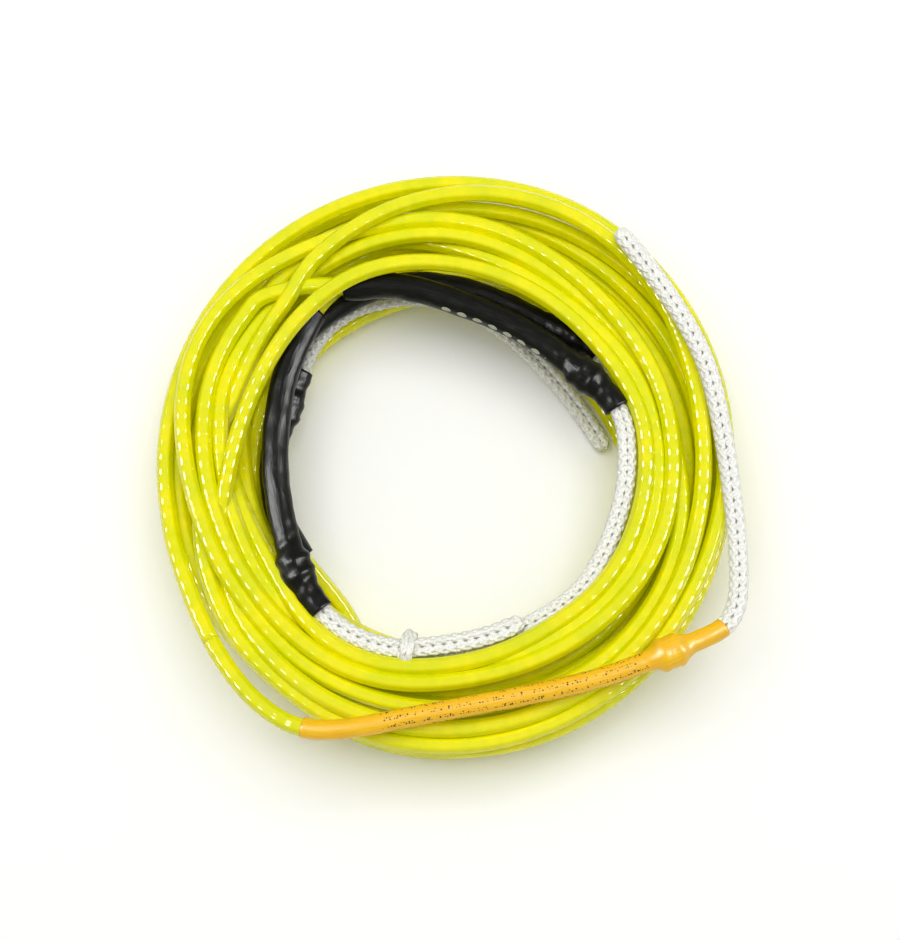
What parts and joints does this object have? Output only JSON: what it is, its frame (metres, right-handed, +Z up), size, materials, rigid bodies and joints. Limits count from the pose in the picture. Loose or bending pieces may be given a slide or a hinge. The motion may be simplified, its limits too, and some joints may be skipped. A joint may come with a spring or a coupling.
{
  "type": "tow rope",
  "caption": "Coiled sectional tow line: a plastic-coated main line with two take-off sections, joined loop to loop, with shrink-sleeved spliced ends.",
  "frame": {"origin": "on the ground, under the middle of the whole object's box", "axes": "+Z up, square to the coil's plane; +X to the right with the yellow sleeve at the front; +Y to the back"},
  "size_m": [0.2706, 0.27, 0.0578],
  "materials": {
    "coated_rope": "smooth neon yellow polyurethane coating, the braid below showing as shallow bumps",
    "braid": "off-white hollow braid of slick fibre",
    "black_sleeve": "satin black heat-shrink tube, wrinkled at the knots",
    "warning_sleeve": "orange-yellow heat-shrink tube with small black print"
  },
  "bodies": {
    "coil": {"mainline_coil": "coated_rope", "long_takeoff_coil": "coated_rope", "short_takeoff_coil": "coated_rope", "main_lead": "coated_rope", "main_sleeve": "black_sleeve", "main_splice": "braid", "main_knot": "braid", "main_throat": "braid", "main_loop": "braid", "long_boat_lead": "coated_rope", "long_boat_sleeve": "black_sleeve", "long_boat_splice": "braid", "long_boat_knot": "braid", "long_boat_throat": "braid", "long_boat_loop": "braid", "long_handle_lead": "coated_rope", "long_handle_sleeve": "black_sleeve", "long_handle_splice": "braid", "long_handle_knot": "braid", "long_handle_throat": "braid", "long_handle_loop": "braid", "short_boat_lead": "coated_rope", "short_boat_sleeve": "black_sleeve", "short_boat_splice": "braid", "short_boat_knot": "braid", "short_boat_throat": "braid", "short_boat_loop": "braid", "handle_lead": "coated_rope", "handle_sleeve": "black_sleeve", "handle_splice": "braid", "handle_knot": "braid", "handle_throat": "braid", "tow_lead": "coated_rope"},
    "tow_end": {"tow_sleeve": "warning_sleeve", "tow_splice": "braid", "tow_knot": "braid", "tow_throat": "braid"},
    "tow_loop": {"tow_loop": "braid"},
    "handle_loop": {"handle_loop": "braid"}
  },
  "joints": [
    {"name": "tow_end_lift", "type": "hinge", "parent": "coil", "child": "tow_end", "pos_m": [-0.06756, -0.11899, 0.05151], "axis": [-0.1765, -0.9843, 0], "range_deg": [0, 40]},
    {"name": "tow_loop_lift", "type": "hinge", "parent": "tow_end", "child": "tow_loop", "pos_m": [0.11984, -0.07195, 0.04874], "axis": [0.7913, 0.6006, -0.1147], "range_deg": [0, 60]},
    {"name": "handle_loop_swing", "type": "hinge", "parent": "coil", "child": "handle_loop", "pos_m": [-0.07075, 0.03651, 0.02078], "axis": [0, 0, -1], "range_deg": [0, 30]}
  ]
}
